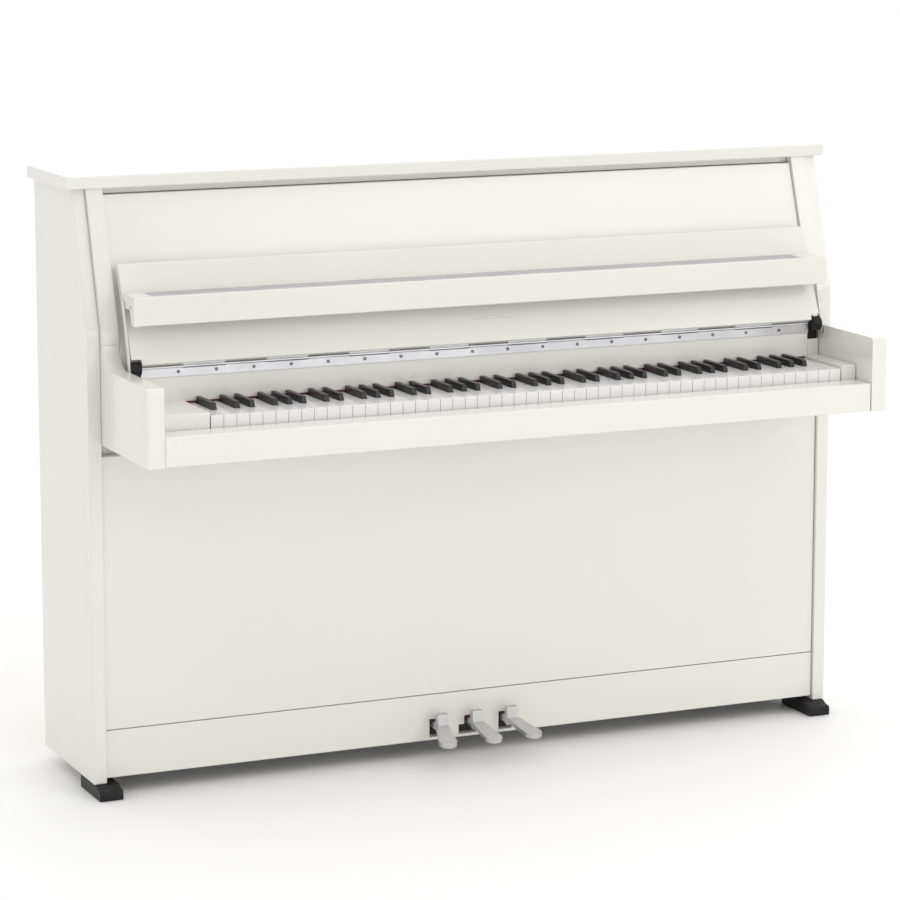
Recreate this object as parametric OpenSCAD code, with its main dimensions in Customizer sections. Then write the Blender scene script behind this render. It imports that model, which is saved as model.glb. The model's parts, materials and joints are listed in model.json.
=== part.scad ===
// Compact upright piano, 109 cm class, with a folding fallboard and music ledge.
// Frame: +X to the treble side, +Y to the back, +Z up. The origin is the centre of
// the footprint on the floor. Millimetres.

/* [Case] */
// Width of the top lid
lid_w = 1494; // [1480:1:1520]
// Width across the side panels
case_w = 1470; // [1460:1:1476]
// Height to the top of the lid
total_h = 1090; // [1080:1:1110]
// Depth from the front of the arms to the back of the lid
total_d = 540; // [536:1:560]
// Thickness of the lid
lid_t = 22; // [18:1:26]
// Thickness of a side panel
panel_t = 24; // [20:1:26]
// Thickness of an arm and of the stile above it
arm_t = 30; // [26:1:32]
// Height of the side panels' lower edges above the floor
panel_z = 25; // [25:1:30]
// Height at which the front of the side panels starts to lean back
bend_z = 822; // [815:1:830]

/* [Keyboard] */
// Width of all the white keys together
keyboard_w = 1227; // [1224:1:1230]
// How far the keyboard sits towards the treble side
keyboard_x = 35; // [30:1:38]
// Height of the tops of the white keys
key_top = 702; // [700:1:704]

/* [Fallboard and ledge] */
// How far the open fallboard leans back, in degrees
lean = 23.6; // [22:0.2:25]
// Length of the fallboard from its hinge to its free edge
board_l = 185; // [180:1:188]
// Thickness of the fallboard
board_t = 15; // [13:0.5:15]
// Height of the ledge's front lip
lip_h = 50; // [40:1:52]

/* [Pedals] */
// Distance between neighbouring pedals
pedal_pitch = 69.5; // [66:0.5:72]
// Position of the middle pedal
pedal_x = -7; // [-12:1:0]
// How far a pedal reaches in front of its riser
pedal_reach = 92; // [86:1:96]

/* [Hidden] */

cream = "#ecebe2";
spruce = "#d9b98a";
beech = "#c9a070";
gold = "#b08a45";
steel = "silver";
charcoal = "#26262a";

// ---- planes of the case
case_x = case_w / 2;
lid_x = lid_w / 2;
y_front = -total_d / 2;
y_back = total_d / 2;
case_top = total_h - lid_t;
panel_in = case_x - panel_t;
arm_in = panel_in - arm_t;
post_back = y_back - 8;
panel_back = y_back - 6;
panel_front = -24;
panel_front_top = 50;
stile_front = -38;
stile_front_top = 42;
lid_front = 36;
gap = 1;

// ---- front panels
recess = 7;
sheet_t = 16;
upper_z0 = 753;
upper_z1 = case_top - 12;
knee_y = -17;
knee_t = 18;
knee_z0 = 119.2;
knee_z1 = 607;
plinth_z0 = 33;
lid_axis_y = y_back - 3;
lid_half = 690;
lid_knuckles = 9;
lid_knuckle_r = 3;
lid_pin_r = 1.5;
plinth_z1 = 118;
knee_gap = 1.5;
knee_pin_y = -12;
knee_pin_z = 130;
knee_pin_r = 4;
knee_pin_x = case_x - panel_t + 5;

// ---- keyboard
bed_z0 = 629;
bed_z1 = 661;
slip_front = -268;
slip_back = -216;
slip_top = 681;
slip_wall = 22;
key_front = -212;
key_back = 88;
head_l = 51;
key_bottom = 680;
sharp_front = key_front + head_l + 2;
sharp_top = key_top + 11.5;
sharp_cap_end = -79;
name_y = -76;
name_z0 = 704.5;
name_z1 = 750;
name_half = 656;
block_top = 708;
riser_z = 738;
balance_y = -27;
pitch = keyboard_w / 52;
keys_x0 = keyboard_x - keyboard_w / 2;
keys_x1 = keys_x0 + keyboard_w;
key_gap = 0.9;
sharp_slot = 11;
sharp_w = 9.8;

// Edges of the tails inside an octave that starts at C, for the groups C-E and F-B
tail_ce = (3 * pitch - 2 * sharp_slot) / 3;
tail_fb = (4 * pitch - 3 * sharp_slot) / 4;
white_index = [0, 2, 4, 5, 7, 9, 11];
sharp_index = [1, 3, 6, 8, 10];

// Left edge of the tail of a semitone 0 to 11, measured from the left edge of C
function tail_x(s) =
    s < 5 ? ceil(s / 2) * tail_ce + floor(s / 2) * sharp_slot
    : 3 * pitch + ceil((s - 5) / 2) * tail_fb + floor((s - 5) / 2) * sharp_slot;
function is_sharp(s) = s == 1 || s == 3 || s == 6 || s == 8 || s == 10;
function tail_w(s) = is_sharp(s) ? sharp_slot : s < 5 ? tail_ce : tail_fb;
function white_number(s) = s < 5 ? s / 2 : (s + 1) / 2;
// The keyboard starts at A, nine semitones and five white keys into an octave
function octave_x(k) = keys_x0 - 5 * pitch + floor((k + 9) / 12) * 7 * pitch;
function semitone(k) = (k + 9) % 12;
function key_mid(k) = octave_x(k) + tail_x(semitone(k)) + tail_w(semitone(k)) / 2;
keys = 88;
octave_first = 39;
middle_white = [for (s = white_index) octave_first + s];
middle_sharp = [for (s = sharp_index) octave_first + s];
other_white = [for (k = [0 : keys - 1])
    if (!is_sharp(semitone(k)) && (k < octave_first || k > octave_first + 11)) k];
other_sharp = [for (k = [0 : keys - 1])
    if (is_sharp(semitone(k)) && (k < octave_first || k > octave_first + 11)) k];

// ---- fallboard, ledge and links
hinge_y = -76;
hinge_z = 767;
hinge_pin_r = 1.2;
knuckle_r = 2.5;
board_gap = 0.5;
board_start = 3;
board_half = 675;
ledge_top = 895;
ledge_front = -107;
ledge_t = 12;
lip_t = 14;
ledge_c = 20;
ledge_e = 3.5;
ledge_pin_z = ledge_top - ledge_e;
ledge_s = (ledge_pin_z - hinge_z - ledge_c * sin(lean)) / cos(lean);
ledge_pin_y = hinge_y + ledge_s * sin(lean) - ledge_c * cos(lean);
link_dy = -10;
link_dz = -12;
link_x0 = 677.2;
link_x1 = 679.2;
link_r = 5;
link_pin_r = 2;
fit_gap = 0.05;
damper_x0 = 659;
damper_x1 = 676.5;
damper_r = 13;
damper_dy = -6;
damper_dz = 1;
corner_x = 657;
corner_r = 19.8;

// ---- back and strung frame
post_front = 196;
post_w = 80;
beam_top_z0 = 980;
beam_top_z1 = 1060;
beam_low_z0 = 52;
beam_low_z1 = 150;
board_y0 = 172;
board_y1 = 181;
plate_y0 = 138;
plate_y1 = 149;
plate_bars = [-648, -250, 30, 330, 618];
bar_w = 30;
string_y = 128;
string_z1 = 985;

// ---- action
hammer_y = 80;
hammer_z = 800;
hammer_lean = 20;
wippen_y = 98;
wippen_z = 745;
damper_y = 113;
damper_z = 806;
centre_pin_r = 1.2;
rest_rail_y = 45;
rest_rail_z = 770;

// ---- pedals
slot_z0 = 38;
slot_z1 = 72;
slot_half = 13.5;
lock_notch_w = 11;
lock_notch_h = 18;
floor_z0 = 34;
floor_z1 = 50;
pedal_pin_y = 20;
pedal_pin_z = 62;
pedal_pin_r = 4;
riser_y = -50;
pedal_xs = [pedal_x - pedal_pitch, pedal_x, pedal_x + pedal_pitch];
pedal_splay = [-15, 0, 8];
lever_ys = [84, 106, 62];
rod_xs = [-634, -656, -612];
rod_tops = [750, 900, 788];
lever_pivot_x = 408;
lever_z = 82;
lever_h = 16;
rod_r = 6;

// ---- casters
caster_x = 600;
caster_y = 225;
wheel_r = 20;
wheel_w = 16;

// ---- helpers
module box(x0, x1, y0, y1, z0, z1) {
    translate([x0, y0, z0]) cube([x1 - x0, y1 - y0, z1 - z0]);
}
// An outline of [y, z] points from x0 to x1
module side(x0, x1, points) {
    translate([x0, 0, 0]) rotate([90, 0, 90]) linear_extrude(x1 - x0) polygon(points);
}
module rod_x(x0, x1, y, z, r, sides = 48) {
    translate([x0, y, z]) rotate([0, 90, 0]) cylinder(h = x1 - x0, r = r, $fn = sides);
}
module both() {
    children();
    mirror([1, 0, 0]) children();
}
// Points of an arc in the [y, z] plane
function arc(cy, cz, r, a0, a1, n = 8) =
    [for (i = [0 : n]) let (a = a0 + (a1 - a0) * i / n) [cy + r * cos(a), cz + r * sin(a)]];
// Every second knuckle of a hinge from -half to half. Its children are drawn on the X axis,
// with their own +X pointing down and their +Y to the back
knuckle_space = 0.3;
function knuckle_length(half, n) = 2 * half / (2 * n + 1) - knuckle_space;
module knuckle_row(half, n, r, first) {
    pitch_x = 2 * half / (2 * n + 1);
    for (i = [first : 2 : 2 * n])
        translate([-half + i * pitch_x + knuckle_space / 2, 0, 0]) rotate([0, 90, 0]) children();
}
// Places children in the fallboard's own frame: y along the board, z out of its front
module on_board() {
    translate([0, hinge_y, hinge_z]) rotate([90 - lean, 0, 0]) children();
}

// ---- case
module side_panel() {
    points = [[panel_front, panel_z], [panel_back, panel_z], [panel_back, case_top],
        [panel_front_top, case_top], [panel_front + 3, bend_z + 12], [panel_front, bend_z - 6]];
    color(cream) difference() {
        side(panel_in, case_x, points);
        rod_x(panel_in - 1, knee_pin_x + 1, knee_pin_y, knee_pin_z, knee_pin_r + fit_gap);
    }
}
module left_side_panel() { mirror([1, 0, 0]) side_panel(); }
module right_side_panel() { side_panel(); }

module arm_and_stile() {
    seam = 805;
    fillet = 40;
    nose = 8;
    arm_top = seam - fillet;
    rear = 60;
    color(cream) {
        side(arm_in, panel_in - 0.2, concat(
            [[y_front, bed_z0], [rear, bed_z0], [rear, seam], [stile_front, seam]],
            arc(stile_front - fillet, seam, fillet, 0, -90),
            arc(y_front + nose, arm_top - nose, nose, 90, 180, 5)));
        side(arm_in, panel_in - 0.2, [[stile_front, seam + 0.3], [rear, seam + 0.3],
            [stile_front_top + 60, case_top], [stile_front_top, case_top],
            [stile_front + 3, bend_z + 10], [stile_front, bend_z - 4]]);
    }
}
module left_arm() { mirror([1, 0, 0]) arm_and_stile(); }
module right_arm() { arm_and_stile(); }

front_slope = (stile_front_top - stile_front) / (case_top - bend_z);
function stile_y(z) = stile_front + (z - bend_z) * front_slope;

module upper_front_panel() {
    color(cream) side(-arm_in + 0.8, arm_in - 0.8,
        [[stile_y(upper_z0) + recess, upper_z0], [stile_y(upper_z0) + recess + sheet_t, upper_z0],
         [stile_y(upper_z1) + recess + sheet_t, upper_z1], [stile_y(upper_z1) + recess, upper_z1]]);
}
module case_rails() {
    front = stile_y(case_top) + recess + 9;
    deep = front + 13;
    back = front + 33;
    knee_rail_y = 6;
    low_rail_z = 92;
    low_rail_h = 44;
    color(cream) {
        side(-arm_in + 0.3, arm_in - 0.3, [[front, upper_z1 + 0.8], [deep, upper_z1 + 0.8],
            [deep, upper_z1 - 16], [back, upper_z1 - 16], [back, case_top - 0.3], [front, case_top - 0.3]]);
        box(-panel_in + 0.3, panel_in - 0.3, knee_rail_y, knee_rail_y + 20, knee_z1 - 14, bed_z0 - 0.3);
        box(-panel_in + 0.3, panel_in - 0.3, knee_rail_y, knee_rail_y + 18, low_rail_z,
            low_rail_z + low_rail_h);
    }
}
module key_bed() {
    bed_back = 98;
    color(beech) difference() {
        box(-arm_in + 0.3, arm_in - 0.3, slip_front + slip_wall + 0.2, bed_back, bed_z0, bed_z1);
        box(-arm_in, rod_xs[2] + 12, 45, bed_back + 1, bed_z0 - 1, bed_z1 + 1);
    }
}
module key_slip() {
    ledge_h = 16;
    ease = 2;
    color(cream) side(-arm_in + gap, arm_in - gap, [[slip_front + ease, bed_z0],
        [slip_front + slip_wall, bed_z0], [slip_front + slip_wall, slip_top - ledge_h],
        [slip_back, slip_top - ledge_h], [slip_back, slip_top], [slip_front + ease, slip_top],
        [slip_front, slip_top - ease], [slip_front, bed_z0 + ease]]);
}
module key_blocks() {
    block_front = key_front - 1;
    color(cream) {
        for (ends = [[-arm_in + gap, keys_x0 - 1.5], [keys_x1 + 1.5, arm_in - gap]])
            box(ends[0], ends[1], block_front, name_y, bed_z1 + 0.2, block_top);
        for (ends = [[-arm_in + gap, -name_half - 0.5], [name_half + 0.5, arm_in - gap]])
            box(ends[0], ends[1], name_y + 0.5, name_y + 18, bed_z1 + 0.2, riser_z - 0.1);
        for (ends = [[-arm_in + gap, -name_half - 0.5], [name_half + 0.5, arm_in - gap]])
            box(ends[0], ends[1], name_y + 17.9, name_y + 22, bed_z1 + 0.2, upper_z0 - 0.5);
    }
}
module name_board() {
    color(cream) box(-name_half, name_half, name_y + 0.1, name_y + 18, name_z0, name_z1);
}
module name_board_felt() {
    color("#8c1f26") box(keys_x0, keys_x1, name_y - 1.2, name_y - 0.1, name_z0 - 1.2, name_z0 + 1.2);
}
module plinth() {
    color(cream) difference() {
        box(-panel_in + knee_gap, panel_in - knee_gap, knee_y, knee_y + knee_t, plinth_z0, plinth_z1);
        for (x = pedal_xs)
            box(x - slot_half, x + slot_half, knee_y - 1, knee_y + knee_t + 1, slot_z0, slot_z1);
        box(pedal_x - slot_half - lock_notch_w, pedal_x, knee_y - 1, knee_y + knee_t + 1, slot_z0,
            slot_z0 + lock_notch_h);
    }
}
module bottom_board() {
    color(charcoal) box(-panel_in + 0.3, panel_in - 0.3, knee_y + knee_t + 0.2, post_front - 1,
        floor_z0, floor_z1);
}
module top_lid() {
    ease = 2;
    back = lid_axis_y;
    color(cream) {
        difference() {
            side(-lid_x, lid_x, [[lid_front + ease, case_top], [back, case_top], [back, total_h - ease],
                [back - ease, total_h], [lid_front + ease, total_h], [lid_front, total_h - ease],
                [lid_front, case_top + ease]]);
            rod_x(-lid_half - 1, lid_half + 1, back, case_top, lid_knuckle_r + 0.3);
        }
        translate([0, lid_axis_y, case_top]) knuckle_row(lid_half, lid_knuckles, lid_knuckle_r, 1) {
            difference() {
                union() {
                    cylinder(h = knuckle_length(lid_half, lid_knuckles), r = lid_knuckle_r, $fn = 40);
                    translate([-lid_knuckle_r - 1, -1.6, 0])
                        cube([lid_knuckle_r, 1.6, knuckle_length(lid_half, lid_knuckles)]);
                }
                translate([0, 0, -1]) cylinder(h = 200, r = lid_pin_r + fit_gap, $fn = 40);
            }
        }
    }
}
module lid_hinge() {
    leaf = 26;
    color(steel) {
        rod_x(-lid_half, lid_half, lid_axis_y, case_top, lid_pin_r);
        box(-lid_half, lid_half, post_back + 0.1, lid_axis_y - lid_knuckle_r - 0.4, case_top - leaf,
            case_top - 1.5);
        translate([0, lid_axis_y, case_top]) knuckle_row(lid_half, lid_knuckles, lid_knuckle_r, 0) {
            cylinder(h = knuckle_length(lid_half, lid_knuckles), r = lid_knuckle_r, $fn = 40);
            translate([1.5, -lid_knuckle_r - 0.6, 0])
                cube([1.4, 2.4, knuckle_length(lid_half, lid_knuckles)]);
        }
    }
}
module knee_panel() {
    color(cream) {
        both() rod_x(panel_in - knee_gap - 1, knee_pin_x, knee_pin_y, knee_pin_z, knee_pin_r);
        side(-panel_in + knee_gap, panel_in - knee_gap, [[knee_y + 1, knee_z0], [knee_y + knee_t, knee_z0],
            [knee_y + knee_t, knee_z1], [knee_y + 1, knee_z1], [knee_y, knee_z1 - 1], [knee_y, knee_z0 + 1]]);
    }
}

// ---- back and strung frame
module back_frame() {
    posts = [-630, -315, 0, 315, 630];
    color(spruce) {
        for (x = posts)
            box(x - post_w / 2, x + post_w / 2, post_front, post_back, beam_low_z1 + 0.1, beam_top_z0 - 0.1);
        box(-panel_in + 0.3, panel_in - 0.3, post_front, post_back, beam_top_z0, beam_top_z1);
        box(-panel_in + 0.3, panel_in - 0.3, post_front, post_back, beam_low_z0, beam_low_z1);
    }
}
module soundboard() {
    rib_d = 11;
    rib_w = 24;
    ribs = 9;
    tilt = 28;
    half = 690;
    low = 110;
    high = 922;
    color(spruce) {
        box(-half, half, board_y0, board_y1, low, high);
        intersection() {
            box(-half + 20, half - 20, board_y1, board_y1 + rib_d, low + 15, high - 15);
            union() for (i = [0 : ribs - 1])
                translate([(i - (ribs - 1) / 2) * 165, board_y1, (low + high) / 2])
                    rotate([0, tilt, 0]) translate([-rib_w / 2, 0, -1000]) cube([rib_w, rib_d, 2000]);
        }
        difference() {
            union() {
                bridge(180, 380, 60, 800);
                bridge(-400, 205, 78, 360);
            }
            for (x = plate_bars)
                box(x - 5, x + bar_w + 5, string_y, plate_y1 + 4, low, high);
        }
    }
}
// A bridge centred on x, z that leans this far from upright
module bridge(x, z, turn, length) {
    w = 32;
    front = string_y + 1.6;
    translate([x, front, z]) rotate([0, turn, 0]) translate([-w / 2, 0, -length / 2])
        cube([w, board_y0 - front, length]);
}
module iron_plate() {
    half = 648;
    low = 96;
    high = 1034;
    web = 905;
    color(gold) {
        difference() {
            box(-half, half, plate_y0, plate_y1, low, high);
            for (i = [0 : 3])
                box(plate_bars[i] + bar_w, plate_bars[i + 1], plate_y0 - 1, plate_y1 + 1, low + 40, web);
        }
        for (i = [1 : 3])
            side(plate_bars[i] + 8, plate_bars[i] + bar_w - 8, [[plate_y0, low + 20],
                [plate_y0 - 5, low + 60], [plate_y0 - 5, web - 20], [plate_y0, web + 35]]);
    }
}
module pin_block() {
    color(beech) box(-panel_in + 0.5, panel_in - 0.5, plate_y1 + 0.2, post_front - 0.2, 928, 1040);
}
// One string and its tuning pins for each note: bass notes cross over to the treble side
bass_notes = 30;
function string_top_x(k) = key_mid(k);
function string_low_x(k) = k < bass_notes ? key_mid(k) + 150 : key_mid(k) - 60;
treble_rise = 560;
function string_low_z(k) = k < bass_notes ? 130 + k * 1.2
    : 136 + pow((k - bass_notes) / (keys - bass_notes), 1.6) * treble_rise;
module strings_and_pins() {
    pin_r = 3.4;
    pin_out = 22;
    color(steel) for (k = [0 : keys - 1]) {
        top = [string_top_x(k), string_z1 - (k % 3) * 14];
        low = [string_low_x(k), string_low_z(k)];
        along = top - low;
        y = k < bass_notes ? string_y - 5 : string_y;
        r = k < bass_notes ? 1.6 - k * 0.02 : 0.6;
        translate([low[0], y, low[1]]) rotate([0, atan2(along[0], along[1]), 0])
            cylinder(h = norm(along) - pin_r - 0.5, r = r, $fn = 6);
        for (i = [0 : k < 10 ? 0 : 2])
            translate([top[0] - 4 + i * 4, plate_y0, top[1] + 3 + i * 14]) rotate([90, 0, 0])
                cylinder(h = pin_out, r = pin_r - i * 0.1, $fn = 8);
    }
}

// ---- keyboard parts
module key_frame() {
    color(beech) {
        box(keys_x0, keys_x1, key_front + 12, key_front + 72, bed_z1, bed_z1 + 7);
        box(keys_x0, keys_x1, balance_y - 28, balance_y + 28, bed_z1, key_bottom - 4);
        rod_x(keys_x0, keys_x1, balance_y, key_bottom - 4, 3.9);
        box(keys_x0, keys_x1, key_back - 45, key_back, bed_z1, key_bottom - 0.5);
    }
}
// A white key as one block: its head, and its tail between the black keys
module white_key(k) {
    s = semitone(k);
    head = octave_x(k) + white_number(s) * pitch + key_gap / 2;
    head_w = pitch - key_gap;
    t0 = k == 0 ? head : octave_x(k) + tail_x(s) + key_gap / 2;
    t1 = k == keys - 1 ? head + head_w : octave_x(k) + tail_x(s) + tail_w(s) - key_gap / 2;
    notch = key_front + head_l;
    color("#f4f3ef") translate([0, 0, key_bottom]) linear_extrude(key_top - key_bottom)
        polygon([[head, key_front], [head + head_w, key_front], [head + head_w, notch], [t1, notch],
            [t1, key_back], [t0, key_back], [t0, notch], [head, notch]]);
}
module black_key(k) {
    x = key_mid(k) - sharp_w / 2;
    stick = key_top - 5;
    color(charcoal) side(x, x + sharp_w, [[sharp_front + 4, key_bottom], [key_back, key_bottom],
        [key_back, stick], [sharp_cap_end, stick], [sharp_cap_end, sharp_top],
        [sharp_front + 7, sharp_top], [sharp_front + 3, sharp_top - 2.5], [sharp_front, stick]]);
}
module white_keys() { for (k = other_white) white_key(k); }
module black_keys() { for (k = other_sharp) black_key(k); }

// ---- action
module hammers() {
    w = 7.4;
    shank = 2.6;
    color(beech) for (k = [0 : keys - 1])
        translate([key_mid(k) - w / 2, hammer_y, hammer_z]) rotate([hammer_lean, 0, 0]) rotate([90, 0, 90])
            linear_extrude(w) difference() {
                polygon([[-8, -9], [9, -9], [11, 0], [5, 14], [shank, 22], [shank, 112], [30, 116],
                    [41, 123], [30, 131], [shank, 136], [-12, 134], [-12, 116], [-shank, 112],
                    [-shank, 22], [-6, 12]]);
                circle(r = centre_pin_r + fit_gap, $fn = 24);
            }
}
module wippens() {
    w = 7.4;
    color(beech) for (k = [0 : keys - 1])
        translate([key_mid(k) - w / 2, 0, 0]) rotate([90, 0, 90]) linear_extrude(w) difference() {
            polygon([[48, 738], [64, 736], [64, 709], [80, 709], [82, 737], [102, 740], [103, 750],
                [84, 753], [80, 782], [74, 782], [72, 754], [48, 750]]);
            translate([wippen_y, wippen_z]) circle(r = centre_pin_r + fit_gap, $fn = 24);
        }
}
module dampers() {
    w = 7.4;
    last_damper = 66;
    color(beech) for (k = [0 : last_damper]) {
        face = string_y - (k < bass_notes + 4 ? 7.2 : 1.2);
        translate([key_mid(k) - w / 2, 0, 0]) rotate([90, 0, 90]) linear_extrude(w) difference() {
            polygon([[109, 798], [117, 798], [117, 812], [114.5, 815], [114.5, 848], [face, 850],
                [face, 884], [110, 884], [110, 850], [112, 848], [112, 815], [109, 812]]);
            translate([damper_y, damper_z]) circle(r = centre_pin_r + fit_gap, $fn = 24);
        }
    }
}
bracket_left = keys_x0 - 10;
bracket_right = keys_x1 + 4;
module action_frame() {
    t = 6;
    color(gold) for (x = [bracket_left, bracket_right])
        side(x, x + t, [[44, bed_z1 + 0.5], [120, bed_z1 + 0.5], [124, 890], [108, 892], [92, 830],
            [64, 800], [56, 780], [38, 778], [38, 762], [52, 756], [52, 720]]);
    color(steel) {
        for (x = [bracket_left - 10, bracket_right + t - 0.5])
            rod_x(x, x + 11, rest_rail_y, rest_rail_z, 2.45);
        for (axis = [[hammer_y, hammer_z], [wippen_y, wippen_z], [damper_y, damper_z]])
            rod_x(bracket_left + t, bracket_right, axis[0], axis[1], centre_pin_r, 24);
    }
    color(beech) {
        box(bracket_left + t, bracket_right, 106, 119, 752, 788);
        box(bracket_left + t, bracket_right, 95, 104, 796, 814);
    }
}
module hammer_rest_rail() {
    arm = 6;
    color(beech) {
        box(bracket_left - 9, bracket_right + 15, 26, 40, 862, 880);
        for (x = [bracket_left - 9, bracket_right + 9])
            difference() {
                side(x, x + arm, [[26, 861.9], [40, 861.9], [rest_rail_y + 7, rest_rail_z + 8],
                    [rest_rail_y + 7, rest_rail_z - 7], [rest_rail_y - 7, rest_rail_z - 7],
                    [rest_rail_y - 7, rest_rail_z + 8]]);
                rod_x(x - 1, x + arm + 1, rest_rail_y, rest_rail_z, 2.5);
            }
    }
}
module mute_rail() {
    color("#6f7f4f") {
        box(bracket_left - 9, bracket_right + 15, 100, 112, 1000, 1012);
        box(keys_x0, keys_x1, 112, 115, 962, 1012);
    }
}

// ---- fallboard group
knuckles = 8;
module fallboard_hinge() {
    leaf_t = 1.5;
    leaf_low = name_z1 + 0.1;
    leaf_high = hinge_z - knuckle_r - 0.3;
    color(steel) {
        box(-name_half, name_half, name_y - leaf_t, name_y + 0.05, leaf_low, leaf_high);
        rod_x(-name_half, name_half, hinge_y, hinge_z, hinge_pin_r);
        translate([0, hinge_y, hinge_z]) knuckle_row(name_half, knuckles, knuckle_r, 0) {
            cylinder(h = knuckle_length(name_half, knuckles), r = knuckle_r, $fn = 40);
            translate([knuckle_r - 0.6, -leaf_t, 0]) cube([1.2, leaf_t, knuckle_length(name_half, knuckles)]);
        }
    }
}
module fallboard() {
    color(cream) {
        difference() {
            on_board() translate([-board_half, board_start, board_gap])
                cube([2 * board_half, board_l - board_start, board_t]);
            both() rod_x(corner_x, board_half + 1, hinge_y, hinge_z, corner_r, 96);
        }
        on_board() rotate([-90, 0, 0]) knuckle_row(name_half, knuckles, knuckle_r, 1)
            difference() {
                union() {
                    cylinder(h = knuckle_length(name_half, knuckles), r = knuckle_r, $fn = 40);
                    translate([-board_start - 0.5, -2.1, 0])
                        cube([board_start + 0.5, 1.6, knuckle_length(name_half, knuckles)]);
                }
                translate([0, 0, -1]) cylinder(h = 200, r = hinge_pin_r + fit_gap, $fn = 40);
            }
        both() on_board() translate([board_half, ledge_s, ledge_c]) rotate([0, 90, 0]) translate([0, 0, -4])
            difference() {
                union() {
                    cylinder(h = 4, r = 3.6, $fn = 40);
                    translate([0, -3.6, 0]) cube([ledge_c - board_gap - board_t + 0.2, 7.2, 4]);
                }
                translate([0, 0, -1]) cylinder(h = 6, r = 1.5 + fit_gap, $fn = 40);
            }
    }
}
module music_ledge() {
    end = board_half;
    ear = 4.6;
    color(cream) {
        side(-end + ear, end - ear, [[ledge_front + 1.5, ledge_top], [ledge_pin_y + 2.2, ledge_top],
            [ledge_pin_y + 2.2, ledge_top - ledge_t + 4], [ledge_pin_y - 2, ledge_top - ledge_t],
            [ledge_front + lip_t, ledge_top - ledge_t], [ledge_front + lip_t, ledge_top - lip_h],
            [ledge_front + 1.5, ledge_top - lip_h], [ledge_front, ledge_top - lip_h + 1.5],
            [ledge_front, ledge_top - 1.5]]);
        both() {
            rod_x(end - ear - 3, end, ledge_pin_y, ledge_pin_z, 1.5);
            side(end - ear - 1, end + 1.6, [[ledge_front, ledge_top], [ledge_pin_y - 6, ledge_top],
                [ledge_pin_y - 5, ledge_top - 24], [ledge_front + 24, ledge_top - 24],
                [ledge_front + lip_t, ledge_top - lip_h], [ledge_front, ledge_top - lip_h]]);
            rod_x(end + 0.6, link_x1, ledge_pin_y + link_dy, ledge_pin_z + link_dz, link_pin_r);
        }
    }
}
module ledge_links() {
    t = link_x1 - link_x0;
    along = [ledge_pin_y - hinge_y, ledge_pin_z - hinge_z];
    color(cream) both() translate([link_x0, 0, 0]) difference() {
        union() {
            for (p = [[hinge_y, hinge_z], [ledge_pin_y, ledge_pin_z]])
                rod_x(0, t, p[0] + link_dy, p[1] + link_dz, link_r);
            translate([0, hinge_y + link_dy, hinge_z + link_dz])
                rotate([-atan2(along[0], along[1]), 0, 0]) translate([0, -link_r, 0])
                    cube([t, 2 * link_r, norm(along)]);
        }
        rod_x(-1, 5, hinge_y + link_dy, hinge_z + link_dz, link_pin_r + fit_gap);
        rod_x(-1, 5, ledge_pin_y + link_dy, ledge_pin_z + link_dz, link_pin_r + fit_gap);
    }
}
module fallboard_dampers() {
    color(charcoal) both() {
        rod_x(damper_x0, damper_x1, hinge_y + damper_dy, hinge_z + damper_dz, damper_r);
        box(damper_x0, damper_x1, name_y + 2, name_y + 17.8, riser_z, hinge_z - 6);
        rod_x(link_x1 + 0.2, arm_in - 0.05, hinge_y + link_dy, hinge_z + link_dz, 6);
        rod_x(link_x0 - 0.2, arm_in - 0.05, hinge_y + link_dy, hinge_z + link_dz, link_pin_r);
    }
}

// ---- pedals
module pedal(i) {
    x = pedal_xs[i];
    bar_w = 18;
    riser_w = 20;
    top = 88;
    bar_z0 = 56;
    bar_z1 = 68;
    rear = lever_ys[i] + 8;
    color(steel) {
        difference() {
            side(x - bar_w / 2, x + bar_w / 2,
                [[riser_y + 6, bar_z0], [rear, bar_z0], [rear, bar_z1], [riser_y + 6, bar_z1]]);
            rod_x(x - bar_w, x + bar_w, pedal_pin_y, pedal_pin_z, pedal_pin_r + fit_gap);
        }
        translate([x, lever_ys[i], bar_z1 - 2]) cylinder(h = lever_z - bar_z1 + 1, r = 5, $fn = 32);
        side(x - riser_w / 2, x + riser_w / 2, [[riser_y, 60], [riser_y + 3, top - 2], [riser_y + 6, top],
            [riser_y + 13, top], [riser_y + 14, top - 3], [riser_y + 14, 56], [riser_y + 6, 52]]);
        translate([x, riser_y + 8, 0]) rotate([0, 0, pedal_splay[i]]) blade();
    }
}
// The foot plate: a tongue that widens forwards to a round end and drops a little
module blade() {
    w0 = 11;
    w1 = 16.5;
    l = pedal_reach;
    root_z = 68;
    drop = 9;
    t = 8;
    translate([0, 0, root_z]) rotate([drop, 0, 0]) translate([0, 0, -t]) linear_extrude(t)
        polygon(concat([[w0, 0], [-w0, 0], [-w1, -l + w1]],
            [for (a = [190 : 20 : 350]) [w1 * cos(a), -l + w1 + w1 * sin(a)]], [[w1, -l + w1]]));
}
module soft_pedal() { pedal(0); }
module mute_pedal() { pedal(1); }
module damper_pedal() { pedal(2); }
module pedal_brackets() {
    ear_t = 4;
    ear_x = 12.5;
    color(charcoal) for (x = pedal_xs) {
        for (s = [-1, 1])
            box(x + s * ear_x - ear_t / 2, x + s * ear_x + ear_t / 2, pedal_pin_y - 12, pedal_pin_y + 12,
                floor_z1, pedal_pin_z + 9);
        rod_x(x - 14.5, x + 14.5, pedal_pin_y, pedal_pin_z, pedal_pin_r);
    }
    color(beech) for (y = lever_ys)
        for (s = [-1, 1])
            box(lever_pivot_x - 10, lever_pivot_x + 10, y + s * 9 - 1.4, y + s * 9 + 1.4, floor_z1,
                lever_z + lever_h + 2);
    color(steel) for (y = lever_ys)
        translate([lever_pivot_x, y - 10.6, lever_z + lever_h / 2]) rotate([-90, 0, 0])
            cylinder(h = 21.2, r = 3, $fn = 40);
}
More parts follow.
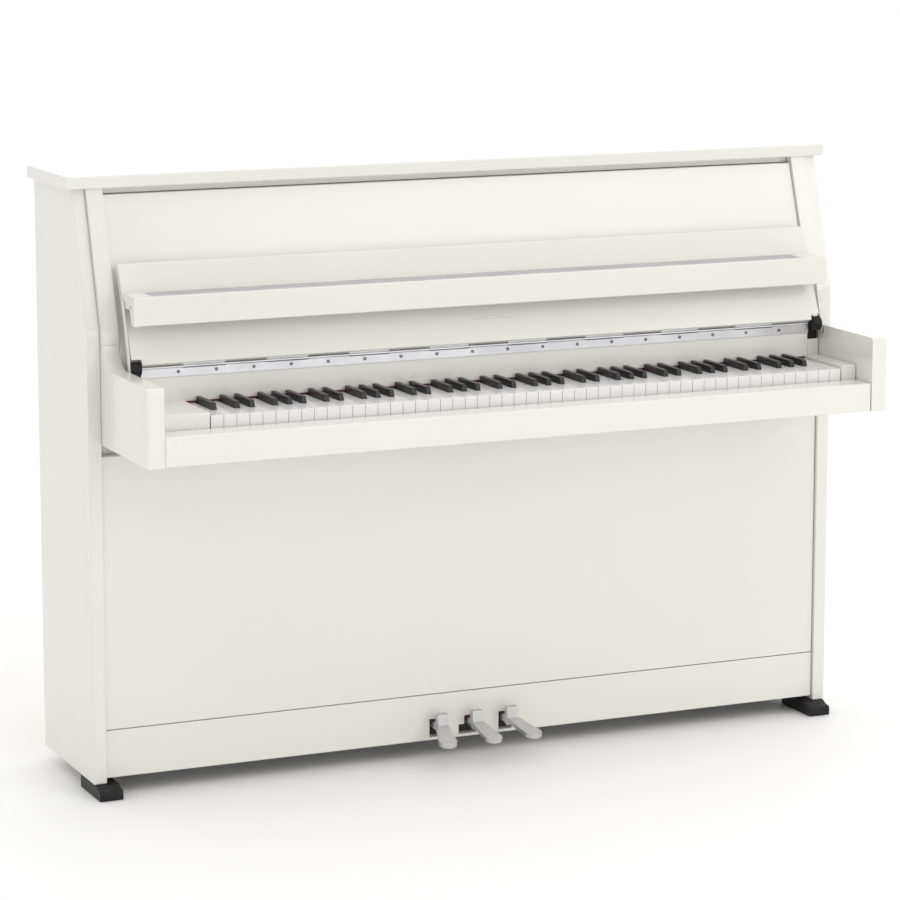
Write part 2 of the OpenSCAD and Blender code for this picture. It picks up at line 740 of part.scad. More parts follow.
module trap_lever(i) {
    y = lever_ys[i];
    color(beech) difference() {
        box(rod_xs[i] - 12, lever_pivot_x + 12, y - 7, y + 7, lever_z, lever_z + lever_h);
        translate([lever_pivot_x, y - 8, lever_z + lever_h / 2]) rotate([-90, 0, 0])
            cylinder(h = 16, r = 3 + fit_gap, $fn = 40);
    }
}
module soft_trap_lever() { trap_lever(0); }
module mute_trap_lever() { trap_lever(1); }
module damper_trap_lever() { trap_lever(2); }
module lift_rod(i) {
    color(beech) translate([rod_xs[i], lever_ys[i], lever_z + lever_h + 0.5])
        cylinder(h = rod_tops[i] - lever_z - lever_h, r = rod_r, $fn = 32);
}
module soft_rod() { lift_rod(0); }
module mute_rod() { lift_rod(1); }
module damper_rod() { lift_rod(2); }

// ---- feet and casters
module front_feet() {
    in_x = 690;
    color(charcoal) both() side(in_x, case_x - 2, concat([[60, 0], [60, panel_z - 0.2], [-26, panel_z - 0.2]],
        arc(-44, 12, 7, 60, 180, 5), [[-51, 2], [-49, 0]]));
}
module caster_forks() {
    color(steel) both() {
        box(caster_x - 26, caster_x + 26, caster_y - 26, caster_y + 26, beam_low_z0 - 4, beam_low_z0 - 0.1);
        for (s = [-1, 1])
            difference() {
                box(caster_x + s * 11.5 - 1.5, caster_x + s * 11.5 + 1.5, caster_y - 9, caster_y + 9, 12,
                    beam_low_z0 - 3.9);
                rod_x(caster_x - 20, caster_x + 20, caster_y, wheel_r, 3);
            }
        rod_x(caster_x - 14, caster_x + 14, caster_y, wheel_r, 3);
    }
}
module caster_wheels() {
    color(charcoal) both() difference() {
        rod_x(caster_x - wheel_w / 2, caster_x + wheel_w / 2, caster_y, wheel_r, wheel_r, 64);
        rod_x(caster_x - wheel_w, caster_x + wheel_w, caster_y, wheel_r, 3 + fit_gap);
    }
}

left_side_panel();
right_side_panel();
left_arm();
right_arm();
upper_front_panel();
case_rails();
key_bed();
key_slip();
key_blocks();
name_board();
name_board_felt();
plinth();
bottom_board();
back_frame();
soundboard();
iron_plate();
pin_block();
strings_and_pins();
key_frame();
action_frame();
front_feet();
fallboard_hinge();
fallboard_dampers();
caster_forks();
lid_hinge();
pedal_brackets();
top_lid();
knee_panel();
fallboard();
music_ledge();
ledge_links();
soft_pedal();
mute_pedal();
damper_pedal();
soft_trap_lever();
mute_trap_lever();
damper_trap_lever();
soft_rod();
mute_rod();
damper_rod();
hammer_rest_rail();
mute_rail();
dampers();
caster_wheels();
hammers();
wippens();
white_keys();
black_keys();
white_key(middle_white[0]);  // key_c4
black_key(middle_sharp[0]);  // key_c_sharp4
white_key(middle_white[1]);  // key_d4
black_key(middle_sharp[1]);  // key_d_sharp4
white_key(middle_white[2]);  // key_e4
white_key(middle_white[3]);  // key_f4
black_key(middle_sharp[2]);  // key_f_sharp4
white_key(middle_white[4]);  // key_g4
black_key(middle_sharp[3]);  // key_g_sharp4
white_key(middle_white[5]);  // key_a4
black_key(middle_sharp[4]);  // key_a_sharp4
white_key(middle_white[6]);  // key_b4
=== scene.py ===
"""Looks, light and camera for a compact white upright piano, in the CAD frame, in metres.

+X is the treble side, +Y the back, +Z up. Every shaped piece starts from its CAD node: the
node's mesh is cleaned, cut where two materials meet, rounded along its edges and painted.
"""

import json
import math

import bmesh
import bpy
from mathutils import Matrix, Vector


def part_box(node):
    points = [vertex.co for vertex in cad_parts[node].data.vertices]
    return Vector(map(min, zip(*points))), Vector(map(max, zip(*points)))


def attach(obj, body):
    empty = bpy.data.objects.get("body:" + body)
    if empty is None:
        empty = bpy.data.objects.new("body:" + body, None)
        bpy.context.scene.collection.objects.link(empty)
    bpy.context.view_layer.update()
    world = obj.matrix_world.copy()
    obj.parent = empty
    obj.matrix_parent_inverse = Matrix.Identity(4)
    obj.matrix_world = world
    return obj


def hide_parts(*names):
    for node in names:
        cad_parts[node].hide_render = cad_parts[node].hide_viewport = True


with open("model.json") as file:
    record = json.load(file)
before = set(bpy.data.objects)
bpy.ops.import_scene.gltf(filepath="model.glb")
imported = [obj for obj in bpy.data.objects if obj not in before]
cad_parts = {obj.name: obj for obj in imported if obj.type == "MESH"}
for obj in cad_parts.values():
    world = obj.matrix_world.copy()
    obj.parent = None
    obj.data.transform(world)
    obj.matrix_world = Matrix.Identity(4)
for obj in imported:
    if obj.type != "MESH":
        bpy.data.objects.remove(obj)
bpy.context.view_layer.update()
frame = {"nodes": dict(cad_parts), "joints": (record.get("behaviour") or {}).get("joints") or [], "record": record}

MM = 0.001
SLOT_OF = {s["node"]: s["material_slot"] for s in frame["record"]["subparts"]}
BODY_OF = {n: b for b, nodes in frame["record"]["behaviour"]["bodies"].items() for n in nodes}
JOINT_OF = {j["child"]: j for j in frame["joints"]}


# ---------------------------------------------------------------- materials
def start_material(name):
    """A new material, its node tree and its Principled shader."""
    made = bpy.data.materials.new(name)
    made.use_nodes = True
    return made, made.node_tree, made.node_tree.nodes["Principled BSDF"]


def add_node(tree, kind, inputs=None, **settings):
    node = tree.nodes.new(kind)
    for key, value in settings.items():
        setattr(node, key, value)
    for key, value in (inputs or {}).items():
        node.inputs[key].default_value = value
    return node


def noise(tree, scale, detail, stretch=(1, 1, 1)):
    """Noise over the object's own frame, in cells of about 1/scale metres."""
    place = add_node(tree, "ShaderNodeTexCoord")
    fit = add_node(tree, "ShaderNodeMapping", {"Scale": stretch})
    cells = add_node(tree, "ShaderNodeTexNoise", {"Scale": scale, "Detail": detail})
    tree.links.new(place.outputs["Object"], fit.inputs["Vector"])
    tree.links.new(fit.outputs["Vector"], cells.inputs["Vector"])
    return cells.outputs["Fac"]


def blend_colours(tree, factor, low, high, start=0.3, end=0.7):
    """Low to high colour as the factor goes from start to end."""
    ramp = add_node(tree, "ShaderNodeValToRGB")
    ramp.color_ramp.elements[0].position = start
    ramp.color_ramp.elements[1].position = end
    ramp.color_ramp.elements[0].color = (*low, 1)
    ramp.color_ramp.elements[1].color = (*high, 1)
    tree.links.new(factor, ramp.inputs["Fac"])
    return ramp.outputs["Color"]


def spread(tree, factor, low, high):
    """The factor, stretched to run from low to high."""
    fit = add_node(tree, "ShaderNodeMapRange", {"To Min": low, "To Max": high})
    tree.links.new(factor, fit.inputs["Value"])
    return fit.outputs["Result"]


def bump(tree, shader, height, strength, distance):
    made = add_node(tree, "ShaderNodeBump", {"Strength": strength, "Distance": distance})
    tree.links.new(height, made.inputs["Height"])
    tree.links.new(made.outputs["Normal"], shader.inputs["Normal"])


def lacquer(name, low, high, roughness=(0.16, 0.24)):
    """Polished polyester: faint tone and gloss drift, and a very fine orange peel."""
    made, tree, shader = start_material(name)
    drift = noise(tree, 2.4, 3)
    tree.links.new(blend_colours(tree, drift, low, high), shader.inputs["Base Color"])
    tree.links.new(spread(tree, noise(tree, 14, 5), *roughness), shader.inputs["Roughness"])
    shader.inputs["Coat Weight"].default_value = 0.35
    shader.inputs["Coat Roughness"].default_value = 0.06
    bump(tree, shader, noise(tree, 160, 2), 0.035, 0.0004)
    return made


def wood(name, low, high, grain, roughness=(0.42, 0.6), lines=130):
    """Planed wood. grain is the index of the axis the fibres follow."""
    made, tree, shader = start_material(name)
    stretch = [1.0, 1.0, 1.0]
    stretch[grain] = 0.035
    fibres = noise(tree, lines, 6, stretch)
    wide = noise(tree, 9, 3, stretch)
    fibre_share = 0.6
    mixed = add_node(tree, "ShaderNodeMath", {1: fibre_share}, operation="MULTIPLY_ADD")
    tree.links.new(fibres, mixed.inputs[0])
    tree.links.new(spread(tree, wide, 0.0, 1 - fibre_share), mixed.inputs[2])
    tree.links.new(blend_colours(tree, mixed.outputs[0], low, high), shader.inputs["Base Color"])
    tree.links.new(spread(tree, fibres, *roughness), shader.inputs["Roughness"])
    bump(tree, shader, fibres, 0.12, 0.0006)
    return made


def metal(name, low, high, roughness, scratch=(1, 1, 1), scale=220, strength=0.03):
    """Bare metal. A small scratch value draws the marks out along that axis."""
    made, tree, shader = start_material(name)
    shader.inputs["Metallic"].default_value = 1.0
    tree.links.new(blend_colours(tree, noise(tree, 18, 4), low, high), shader.inputs["Base Color"])
    marks = noise(tree, scale, 5, scratch)
    tree.links.new(spread(tree, marks, *roughness), shader.inputs["Roughness"])
    bump(tree, shader, marks, strength, 0.0003)
    return made


def solid_paint(name, low, high, roughness, scale=90, strength=0.08, sheen=0.0):
    """Plastic, rubber, felt or cast paint: two near tones, grain and optional sheen."""
    made, tree, shader = start_material(name)
    tones = blend_colours(tree, noise(tree, scale * 0.2, 4), low, high)
    tree.links.new(tones, shader.inputs["Base Color"])
    grains = noise(tree, scale, 5)
    tree.links.new(spread(tree, grains, *roughness), shader.inputs["Roughness"])
    shader.inputs["Sheen Weight"].default_value = sheen
    bump(tree, shader, grains, strength, 0.0005)
    return made


def set_shader(material, name, value):
    material.node_tree.nodes["Principled BSDF"].inputs[name].default_value = value


WHITE = lacquer("white_lacquer", (0.780, 0.765, 0.728), (0.798, 0.783, 0.746))
SPRUCE = wood("spruce_upright", (0.50, 0.33, 0.16), (0.74, 0.56, 0.34), 2)
SPRUCE_ACROSS = wood("spruce_across", (0.48, 0.31, 0.15), (0.72, 0.54, 0.32), 0)
BEECH = wood("beech_across", (0.50, 0.31, 0.17), (0.68, 0.47, 0.28), 0, lines=190)
BEECH_DEEP = wood("beech_deep", (0.52, 0.33, 0.18), (0.70, 0.49, 0.30), 1, lines=260)
GOLD = solid_paint("gold_iron", (0.50, 0.34, 0.10), (0.62, 0.45, 0.16), (0.28, 0.42), 260, 0.25)
set_shader(GOLD, "Metallic", 0.85)
ALONG_X = (0.03, 1, 1)
ALONG_Y = (1, 0.15, 1)
CHROME = metal(
    "satin_chrome", (0.56, 0.56, 0.57), (0.64, 0.64, 0.65), (0.3, 0.42), ALONG_Y, 220, 0.02
)
BRUSHED = metal(
    "brushed_steel", (0.56, 0.56, 0.58), (0.68, 0.68, 0.70), (0.26, 0.4), ALONG_X, 600, 0.05
)
SILVER = metal(
    "ledge_silver", (0.50, 0.50, 0.53), (0.58, 0.58, 0.61), (0.34, 0.46), ALONG_X, 600, 0.04
)
SCREW = metal("dark_screw", (0.20, 0.20, 0.21), (0.28, 0.28, 0.29), (0.3, 0.42))
WIRE = metal("string_wire", (0.42, 0.40, 0.38), (0.62, 0.60, 0.57), (0.25, 0.4))
COPPER = metal("bass_winding", (0.55, 0.27, 0.14), (0.70, 0.38, 0.22), (0.3, 0.45))
BLACK = solid_paint(
    "black_plastic", (0.012, 0.012, 0.013), (0.02, 0.02, 0.022), (0.34, 0.5), 500
)
set_shader(BLACK, "Specular IOR Level", 0.2)
RUBBER = solid_paint("rubber", (0.010, 0.010, 0.010), (0.02, 0.02, 0.02), (0.65, 0.85), 300, 0.2)
KEY_WHITE = lacquer("white_key_top", (0.80, 0.80, 0.795), (0.83, 0.83, 0.825), (0.20, 0.30))
KEY_BLACK = solid_paint(
    "black_key_top", (0.010, 0.010, 0.011), (0.018, 0.018, 0.02), (0.3, 0.42), 700, 0.06
)


def felt(name, low, high, sheen):
    return solid_paint(name, low, high, (0.9, 1), 900, 0.5, sheen)


FELT_RED = felt("red_felt", (0.13, 0.015, 0.018), (0.19, 0.025, 0.028), 0.1)
FELT_WHITE = felt("white_felt", (0.66, 0.64, 0.58), (0.78, 0.76, 0.7), 0.3)
FELT_GREEN = felt("green_felt", (0.1, 0.16, 0.08), (0.16, 0.24, 0.12), 0.2)
# Painted shade: a near-black material that stands in for the shadow in screw slots and behind the pedal slots.
PAINTED_SHADE = solid_paint("dark_recess", (0.02, 0.02, 0.02), (0.05, 0.05, 0.05), (0.6, 0.8))


# ---------------------------------------------------------------- shaping
def island_centres(bm):
    """For each vertex index, the middle x of the loose part it belongs to."""
    centre = {}
    for seed in bm.verts:
        if seed.index in centre:
            continue
        group, todo = {seed}, [seed]
        while todo:
            for edge in todo.pop().link_edges:
                for v in edge.verts:
                    if v not in group:
                        group.add(v)
                        todo.append(v)
        xs = [v.co.x for v in group]
        for v in group:
            centre[v.index] = (min(xs) + max(xs)) / 2
    return centre


def every_edge(edge):
    return True


def longer_than(length):
    """A rule for round_edges: True for the edges longer than length."""
    return lambda edge: edge.calc_length() > length


def round_edges(bm, width, keep=every_edge, segments=3):
    """Rounds the sharp edges that keep(edge) accepts and that are longer than the rounding."""
    chosen = [
        e
        for e in bm.edges
        if len(e.link_faces) == 2
        and e.calc_length() > 1.2 * width
        and e.calc_face_angle(0) > math.radians(30)
        and keep(e)
    ]
    if chosen:
        bmesh.ops.bevel(
            bm,
            geom=chosen,
            offset=width,
            segments=segments,
            profile=0.5,
            affect="EDGES",
            clamp_overlap=True,
        )


def finish_mesh(name, bm, body, materials, paint=None):
    """Turns a bmesh into a piece that rides on a body."""
    if paint:
        for face in bm.faces:
            face.material_index = paint(face)
    mesh = bpy.data.meshes.new(name)
    for face in bm.faces:
        face.smooth = True
    bm.to_mesh(mesh)
    bm.free()
    mesh.set_sharp_from_angle(angle=math.radians(38))
    for m in materials:
        mesh.materials.append(m)
    piece = bpy.data.objects.new(name, mesh)
    bpy.context.scene.collection.objects.link(piece)
    normals = piece.modifiers.new("even_shading", "WEIGHTED_NORMAL")
    normals.keep_sharp = True
    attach(piece, body)
    return piece


def refine(node, width, materials, keep=every_edge, cuts=(), shape=None, paint=None, segments=3):
    """A finer piece in place of a CAD node: cut, shaped, rounded by width and painted.

    cuts are planes given as a point and a normal, and paint(face) is an index into materials.
    """
    bm = bmesh.new()
    bm.from_mesh(frame["nodes"][node].data)
    bmesh.ops.remove_doubles(bm, verts=bm.verts, dist=1e-6)
    bmesh.ops.dissolve_limit(bm, angle_limit=math.radians(1.0), verts=bm.verts, edges=bm.edges)
    for point, normal in cuts:
        everything = [*bm.verts, *bm.edges, *bm.faces]
        bmesh.ops.bisect_plane(bm, geom=everything, dist=1e-7, plane_co=point, plane_no=normal)
    if shape:
        bm.verts.index_update()
        shape(bm)
    if width:
        round_edges(bm, width, keep, segments)
    piece = finish_mesh("fine_" + node, bm, BODY_OF[node], materials, paint)
    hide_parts(node)
    return piece


def box_bm(bm, low, high, matrix=None):
    """Adds a box between two corners to a bmesh."""
    low, high = Vector(low), Vector(high)
    for v in bmesh.ops.create_cube(bm, size=1.0)["verts"]:
        v.co = Vector([(low[i] + high[i]) / 2 + v.co[i] * (high[i] - low[i]) for i in range(3)])
        if matrix:
            v.co = matrix @ v.co


def screw_head(bm, place, axis, radius, height):
    """A low domed screw head with a slot, pointing along axis. The slot is a box in material 1, which is painted
    shade for the groove's shadow.
    """
    turn = Vector(axis).to_track_quat("Z", "Y").to_matrix().to_4x4()
    put = Matrix.Translation(place) @ turn
    profile = [(1, 0), (1, 0.5), (0.86, 1), (0.55, 1.05)]
    slices = 28
    angles = [2 * math.pi * i / slices for i in range(slices)]
    rows = []
    for across, up in profile:
        r, z = radius * across, height * up
        row = [put @ Vector((r * math.cos(a), r * math.sin(a), z)) for a in angles]
        rows.append([bm.verts.new(point) for point in row])
    for a, b in zip(rows, rows[1:]):
        for i in range(slices):
            j = (i + 1) % slices
            bm.faces.new((a[i], a[j], b[j], b[i]))
    bm.faces.new(rows[-1])
    slot = Vector((radius * 0.82, radius * 0.15, height * 1.12))
    # The slot box is painted shade: dark material where the groove's shadow falls.
    known = set(bm.faces)
    box_bm(bm, (-slot.x, -slot.y, height * 0.6), slot, put)
    for face in bm.faces:
        if face not in known:
            face.material_index = 1


def screws(name, places, axis, radius, height, body, material):
    bm = bmesh.new()
    for place in places:
        screw_head(bm, place, axis, radius, height)
    # Material 1 is the painted shade of the screw slots.
    return finish_mesh(name, bm, body, [material, PAINTED_SHADE])


# ---------------------------------------------------------------- casework
def on_arc(edge):
    """True for the short edges of the arms' rounded outlines, which lie in a side face."""
    inner_side_x = 0.68
    a, b = edge.verts
    in_side_face = abs(a.co.x - b.co.x) < 1e-6 and abs(a.co.x) > inner_side_x
    return in_side_face and edge.calc_length() > 1 * MM


def casework():
    """The lacquered panels, each with its edges rounded by the width given here in mm."""
    widths = {
        "top_lid": 1.6,
        "left_side_panel": 1.5,
        "right_side_panel": 1.5,
        "left_arm": 2.2,
        "right_arm": 2.2,
        "upper_front_panel": 1.2,
        "case_rails": 1.0,
        "key_slip": 1.4,
        "key_blocks": 1.2,
        "name_board": 1.0,
        "plinth": 1.0,
        "knee_panel": 1.2,
        "music_ledge": 0.9,
    }
    for node, width in widths.items():
        shortest = (20 if node in ("top_lid", "music_ledge") else 6) * MM
        refine(
            node,
            width * MM,
            [WHITE],
            keep=lambda edge, least=shortest: edge.calc_length() > least or on_arc(edge),
        )


def fallboard():
    """The board with eased edges; its small steel knuckles keep their own edges."""
    axis = Vector(JOINT_OF["fallboard"]["pos_m"])
    hinge_reach = 6 * MM
    knuckle_radius = 3.4 * MM

    def clear_of_hinge(edge):
        away = all((v.co - axis).yz.length > hinge_reach for v in edge.verts)
        return away and edge.calc_length() > 12 * MM

    def paint(face):
        return 1 if (face.calc_center_median() - axis).yz.length < knuckle_radius else 0

    refine("fallboard", 1.5 * MM, [WHITE, BRUSHED], keep=clear_of_hinge, paint=paint)


# ---------------------------------------------------------------- keys
def key_pieces():
    """White keys: plastic top and front on a wooden stick. Black keys: tapered caps on sticks."""
    low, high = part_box("white_keys")
    front = low.y
    top = high.z
    cap = 2.4 * MM
    front_plate = 2.0 * MM
    stick_top = top - 5 * MM
    sharp_foot = stick_top - 8 * MM
    sharp_back = -79 * MM
    sharp_taper = 0.84

    def white_paint(face):
        c = face.calc_center_median()
        return 0 if c.z > top - cap + 1e-5 or c.y < front + front_plate else 1

    def black_paint(face):
        c = face.calc_center_median()
        return 0 if c.z > sharp_foot and c.y < sharp_back + 0.1 * MM else 1

    def taper(bm):
        centre = island_centres(bm)
        for v in bm.verts:
            if v.co.z > stick_top + 1 * MM:
                middle = centre[v.index]
                v.co.x = middle + (v.co.x - middle) * sharp_taper

    def upper(edge):
        return all(v.co.z > top - 0.2 * MM for v in edge.verts) or all(
            v.co.y < front + 0.1 * MM and v.co.z > top - cap + 0.1 * MM for v in edge.verts
        )

    def on_cap(edge):
        return all(v.co.z > stick_top - 0.1 * MM for v in edge.verts)

    whites = [n for n in SLOT_OF if SLOT_OF[n] == "white_key_plastic"]
    blacks = [n for n in SLOT_OF if SLOT_OF[n] == "black_key_plastic"]
    cuts = [((0, 0, top - cap), (0, 0, 1)), ((0, front + front_plate, 0), (0, 1, 0))]
    for node in whites:
        refine(
            node,
            0.5 * MM,
            [KEY_WHITE, BEECH_DEEP],
            keep=upper,
            cuts=cuts,
            paint=white_paint,
            segments=2,
        )
    cuts = [((0, 0, sharp_foot), (0, 0, 1)), ((0, sharp_back, 0), (0, 1, 0))]
    for node in blacks:
        refine(
            node,
            1.0 * MM,
            [KEY_BLACK, BEECH_DEEP],
            keep=on_cap,
            cuts=cuts,
            shape=taper,
            paint=black_paint,
        )


# ---------------------------------------------------------------- fallboard fittings
def hinge_fittings():
    """The long silver hinge and its screws, and the end fittings of the ledge."""
    refine("fallboard_hinge", 0, [BRUSHED])
    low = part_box("fallboard_hinge")[0]
    screw_count = 18
    screw_pitch = 69.5 * MM
    first_x = -587.75 * MM
    leaf_face_y = low.y + 0.9 * MM
    leaf_middle_z = low.z + 8.3 * MM
    places = [
        (first_x + i * screw_pitch, leaf_face_y, leaf_middle_z) for i in range(screw_count)
    ]
    screws(
        "hinge_screws", places, (0, -1, 0), 3.1 * MM, 0.9 * MM, "case", SCREW
    )
    refine("ledge_links", 0.3 * MM, [WHITE], segments=2)
    refine("fallboard_dampers", 1.2 * MM, [BLACK])
    ledge_end_x = 676.4 * MM
    bm = bmesh.new()
    for side in (-1, 1):
        place = (side * ledge_end_x, -88 * MM, 876 * MM)
        screw_head(bm, place, (side, 0, 0), 3.6 * MM, 0.8 * MM)
    # The second material is the painted shade of the screw slots.
    finish_mesh("ledge_plate_screws", bm, "music_ledge", [CHROME, PAINTED_SHADE])
    ledge_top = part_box("music_ledge")[1].z
    sunk, proud = 0.4 * MM, 0.7 * MM
    strip_low = (-640 * MM, -101 * MM, ledge_top - sunk)
    strip_high = (628 * MM, -52 * MM, ledge_top + proud)
    bm = bmesh.new()
    box_bm(bm, strip_low, strip_high)
    round_edges(bm, 0.35 * MM, segments=2)
    finish_mesh("ledge_strip", bm, "music_ledge", [SILVER])


def inlay():
    """Two plain silver lines let into the fallboard's front, in place of lettering."""
    axis = Vector(JOINT_OF["fallboard"]["pos_m"])
    board_lean = math.radians(23.6)
    along = Vector((0, math.sin(board_lean), math.cos(board_lean)))
    out = Vector((0, -math.cos(board_lean), math.sin(board_lean)))
    board_face = 15.5 * MM
    sunk, proud = 0.3 * MM, 0.25 * MM
    middle_x = 8 * MM
    half_height = 0.5 * MM
    long_half = 42 * MM
    lines = [(long_half, 46 * MM), (long_half * 0.55, 50 * MM)]
    bm = bmesh.new()
    for half, up in lines:
        outline = [
            (-half, -half_height), (half, -half_height), (half, half_height), (-half, half_height)
        ]
        corners = [Vector((middle_x + x, 0, 0)) + along * (up + rise) for x, rise in outline]
        base = [bm.verts.new(axis + (c + out * (board_face - sunk))) for c in corners]
        top = [bm.verts.new(axis + (c + out * (board_face + proud))) for c in corners]
        bm.faces.new(top)
        for i in range(4):
            j = (i + 1) % 4
            bm.faces.new((base[i], base[j], top[j], top[i]))
    bmesh.ops.recalc_face_normals(bm, faces=bm.faces)
    finish_mesh("fallboard_inlay", bm, "fallboard", [SILVER])


# ---------------------------------------------------------------- pedals, feet, casters
PEDALS = ("soft_pedal", "mute_pedal", "damper_pedal")


def lower_fittings():
    """The pedals, feet and casters, the felts in the pedal slots and the knee panel's catch."""
    for node in PEDALS:
        refine(node, 1.6 * MM, [CHROME], keep=longer_than(2.2 * MM))
    refine("front_feet", 1.6 * MM, [BLACK])

    def on_rim(edge):
        return abs(edge.verts[0].co.x - edge.verts[1].co.x) < 1e-6

    refine("caster_wheels", 1.6 * MM, [RUBBER], keep=on_rim)
    refine("caster_forks", 0.6 * MM, [BRUSHED], keep=longer_than(5 * MM))
    refine("pedal_brackets", 0, [BRUSHED])

    slot_half, slot_top = 13.5 * MM, 72 * MM
    felt_height, felt_thickness = 12 * MM, 1.4 * MM
    inset = 1 * MM
    low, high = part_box("plinth")
    bm = bmesh.new()
    for node in PEDALS:
        edge = JOINT_OF[node]["pos_m"][0] - slot_half
        felt_low = (edge, low.y + inset, slot_top - felt_height)
        box_bm(bm, felt_low, (edge + felt_thickness, high.y - inset, slot_top))
    finish_mesh("slot_felts", bm, "case", [FELT_RED])

    tab_x0, tab_x1 = -34 * MM, -18 * MM
    bm = bmesh.new()
    box_bm(bm, (tab_x0, -16.5 * MM, 608 * MM), (tab_x1, 5.9 * MM, 609.6 * MM))
    box_bm(bm, (tab_x0, -17.6 * MM, 606.9 * MM), (tab_x1, -16.2 * MM, 612 * MM))
    round_edges(bm, 0.3 * MM, segments=2)
    finish_mesh("knee_latch_tab", bm, "case", [BRUSHED])


# ---------------------------------------------------------------- back and inside
def back_pieces():
    """The back posts and beams, the soundboard and plate, and the rest of the fixed inside."""
    lower_beam_top, upper_beam_foot = 0.1501, 0.979

    def on_beam(face):
        z = face.calc_center_median().z
        return 1 if z > upper_beam_foot or z < lower_beam_top else 0

    refine("back_frame", 2.5 * MM, [SPRUCE, SPRUCE_ACROSS], paint=on_beam)
    refine("soundboard", 1.0 * MM, [SPRUCE], keep=longer_than(15 * MM))
    refine("pin_block", 0.8 * MM, [BEECH])
    refine("iron_plate", 2.0 * MM, [GOLD], keep=longer_than(12 * MM))
    # The bottom board is painted shade: near-black so the inside looks dark through the pedal slots.
    refine("bottom_board", 1.0 * MM, [PAINTED_SHADE])
    refine("key_bed", 1.0 * MM, [WHITE])
    refine("key_frame", 0.5 * MM, [BEECH], keep=longer_than(8 * MM))
    refine("name_board_felt", 0, [FELT_RED])
    refine("lid_hinge", 0, [BRUSHED])
    for name in ("soft", "mute", "damper"):
        refine(name + "_trap_lever", 1.0 * MM, [BEECH], keep=longer_than(8 * MM))
        refine(name + "_rod", 0, [SPRUCE])

    bolt_xs = (-630, -315, 0, 315, 630)
    bolt_zs = (75, 127, 1000, 1040)
    bolt_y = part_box("back_frame")[1].y - 0.1 * MM
    bolts = [(x * MM, bolt_y, z * MM) for x in bolt_xs for z in bolt_zs]
    screws("back_frame_bolts", bolts, (0, 1, 0), 7 * MM, 3 * MM, "case", BRUSHED)


def hammer_pieces():
    """Wooden shanks and mouldings with white felt heads. At rest they lean to the front."""
    pivot = Vector(JOINT_OF["hammers"]["pos_m"])
    lean = math.radians(20)
    along = Vector((0, -math.sin(lean), math.cos(lean)))
    across = Vector((0, math.cos(lean), math.sin(lean)))
    neck = 114 * MM
    moulding = 3 * MM

    def on_head(face):
        c = face.calc_center_median() - pivot
        return 1 if c.dot(along) > neck and c.dot(across) > -moulding else 0

    cuts = [(pivot + along * neck, along), (pivot - across * moulding, across)]
    refine("hammers", 0, [BEECH_DEEP, FELT_WHITE], cuts=cuts, paint=on_head)


def damper_pieces():
    """Damper levers with felt at their upper rear ends."""
    felt_y, felt_z = 0.1155, 0.8499

    def on_felt(face):
        c = face.calc_center_median()
        return 1 if c.z > felt_z and c.y > felt_y else 0

    cuts = [((0, felt_y, 0), (0, 1, 0)), ((0, 0, felt_z), (0, 0, 1))]
    refine("dampers", 0, [BEECH_DEEP, FELT_WHITE], cuts=cuts, paint=on_felt)


def rail_pieces():
    """The rest rail, the mute rail with its felt, and the action's frame."""
    refine("hammer_rest_rail", 0.8 * MM, [BEECH], keep=longer_than(5 * MM))
    felt_y = 0.1119

    def mute_paint(face):
        return 0 if face.calc_center_median().y > felt_y else 1

    refine(
        "mute_rail", 0.8 * MM, [FELT_GREEN, BEECH], keep=longer_than(5 * MM), paint=mute_paint
    )
    left_bracket_x, right_bracket_x = -0.5815, 0.6515
    rail_y, rail_z0, rail_z1 = 0.0945, 0.7515, 0.8145

    def frame_paint(face):
        c = face.calc_center_median()
        if c.x < left_bracket_x or c.x > right_bracket_x:
            return 0
        return 1 if c.y > rail_y and rail_z0 < c.z < rail_z1 else 2

    refine("action_frame", 0, [GOLD, BEECH, WIRE], paint=frame_paint)


def string_pieces():
    """Steel wire and pins. The wound bass strings lie in front of the others."""
    wound_y, wound_top = 0.1262, 0.955

    def string_paint(face):
        c = face.calc_center_median()
        return 1 if c.y < wound_y and c.z < wound_top and len(face.verts) == 4 else 0

    refine("strings_and_pins", 0, [WIRE, COPPER], paint=string_paint)


def action_pieces():
    hammer_pieces()
    refine("wippens", 0, [BEECH_DEEP])
    damper_pieces()
    rail_pieces()
    string_pieces()


# ---------------------------------------------------------------- stage
def floor():
    """A wide plain floor at height 0."""
    bm = bmesh.new()
    reach = 30.0
    corners = [(-reach, -reach, 0), (reach, -reach, 0), (reach, reach, 0), (-reach, reach, 0)]
    bm.faces.new([bm.verts.new(c) for c in corners])
    mesh = bpy.data.meshes.new("floor")
    bm.to_mesh(mesh)
    bm.free()
    made = bpy.data.objects.new("floor", mesh)
    bpy.context.scene.collection.objects.link(made)
    low, high = (0.955, 0.955, 0.955), (0.965, 0.965, 0.965)
    mesh.materials.append(solid_paint("floor_paint", low, high, (0.5, 0.6), 12, 0.01))


def area_light(name, place, target, size, power, colour=(1, 1, 1)):
    """A rectangular light at place that faces target, with its power in watts."""
    light = bpy.data.lights.new(name, "AREA")
    light.shape = "RECTANGLE"
    light.size, light.size_y = size
    light.energy = power
    light.color = colour
    made = bpy.data.objects.new(name, light)
    made.location = place
    made.rotation_mode = "QUATERNION"
    made.rotation_quaternion = (Vector(target) - Vector(place)).to_track_quat("-Z", "Y")
    bpy.context.scene.collection.objects.link(made)


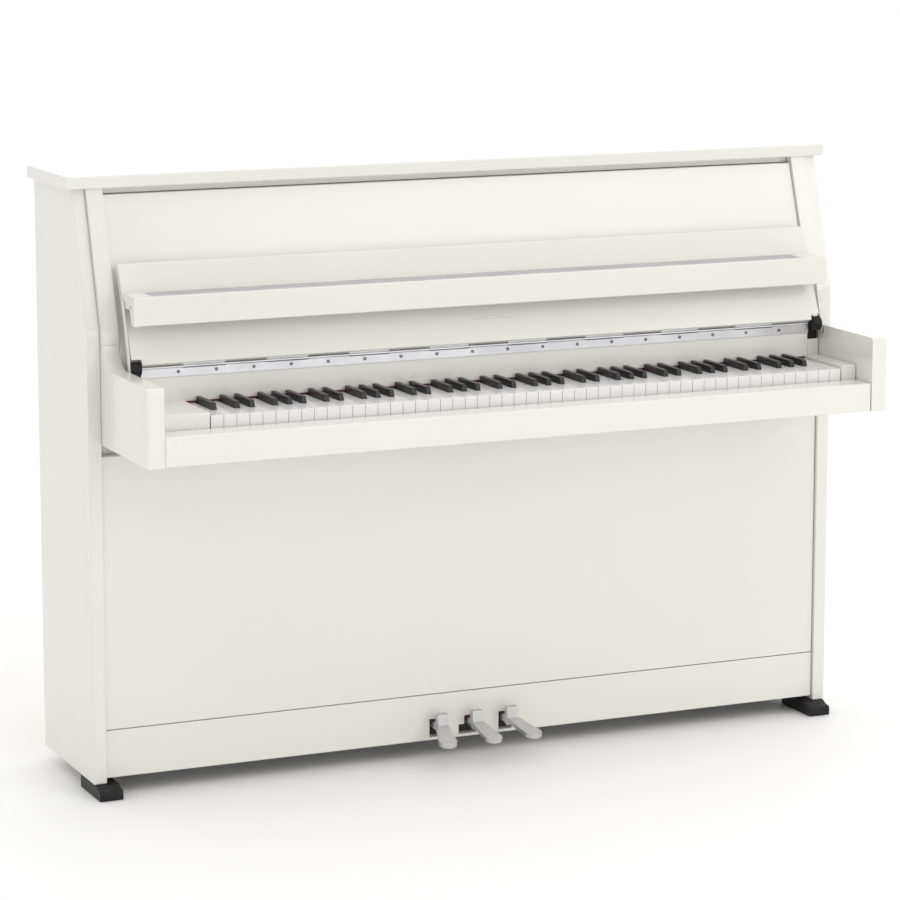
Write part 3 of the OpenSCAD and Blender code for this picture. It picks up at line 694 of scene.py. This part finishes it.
def lights():
    """A room that is bright on one side and overhead, with three soft lights."""
    bright_wall = (0.5, 0.866, 0.0)
    dim, bright = (0.55, 0.545, 0.52), (1.0, 1.0, 1.0)
    world = bpy.data.worlds.new("studio")
    bpy.context.scene.world = world
    world.use_nodes = True
    tree = world.node_tree
    place = add_node(tree, "ShaderNodeTexCoord")
    facing = add_node(tree, "ShaderNodeVectorMath", {1: bright_wall}, operation="DOT_PRODUCT")
    tree.links.new(place.outputs["Generated"], facing.inputs[0])
    fit = add_node(tree, "ShaderNodeMapRange", {"From Min": -0.25, "From Max": 0.7})
    tree.links.new(facing.outputs["Value"], fit.inputs["Value"])
    parts = add_node(tree, "ShaderNodeSeparateXYZ")
    tree.links.new(place.outputs["Generated"], parts.inputs["Vector"])
    overhead = add_node(tree, "ShaderNodeMapRange", {"From Min": 0.4, "From Max": 0.9})
    tree.links.new(parts.outputs["Z"], overhead.inputs["Value"])
    brighter = add_node(tree, "ShaderNodeMath", operation="MAXIMUM")
    tree.links.new(fit.outputs["Result"], brighter.inputs[0])
    tree.links.new(overhead.outputs["Result"], brighter.inputs[1])
    walls = blend_colours(tree, brighter.outputs[0], dim, bright, 0.0, 1.0)
    tree.links.new(walls, tree.nodes["Background"].inputs["Color"])
    tree.nodes["Background"].inputs["Strength"].default_value = 1.2
    middle = (0, 0, 0.6)
    area_light("key_light", (2.8, -4.5, 2.8), middle, (3.0, 2.2), 38, (1.0, 0.995, 0.98))
    area_light("front_light", (0.6, -5.4, 1.5), middle, (3.4, 1.6), 24)
    area_light("top_light", (0.4, -0.2, 4.2), middle, (3.4, 2.6), 8)


def camera():
    """Stands to the left of the keyboard, a little above it, and looks slightly down."""
    data = bpy.data.cameras.new("camera")
    made = bpy.data.objects.new("camera", data)
    bpy.context.scene.collection.objects.link(made)
    turn = math.radians(23.951)
    tilt = math.radians(9.341)
    made.location = (-2.5365, -5.6170, 1.7100)
    level = math.cos(tilt)
    ahead = Vector((math.sin(turn) * level, math.cos(turn) * level, -math.sin(tilt)))
    made.rotation_mode = "QUATERNION"
    made.rotation_quaternion = ahead.to_track_quat("-Z", "Y")
    data.lens = 137.67
    data.sensor_width = 36
    data.shift_y = -0.08
    data.clip_start, data.clip_end = 0.1, 100
    bpy.context.scene.camera = made


casework()
fallboard()
key_pieces()
hinge_fittings()
inlay()
lower_fittings()
back_pieces()
action_pieces()
floor()
lights()
camera()
bpy.context.scene.view_settings.view_transform = "Standard"
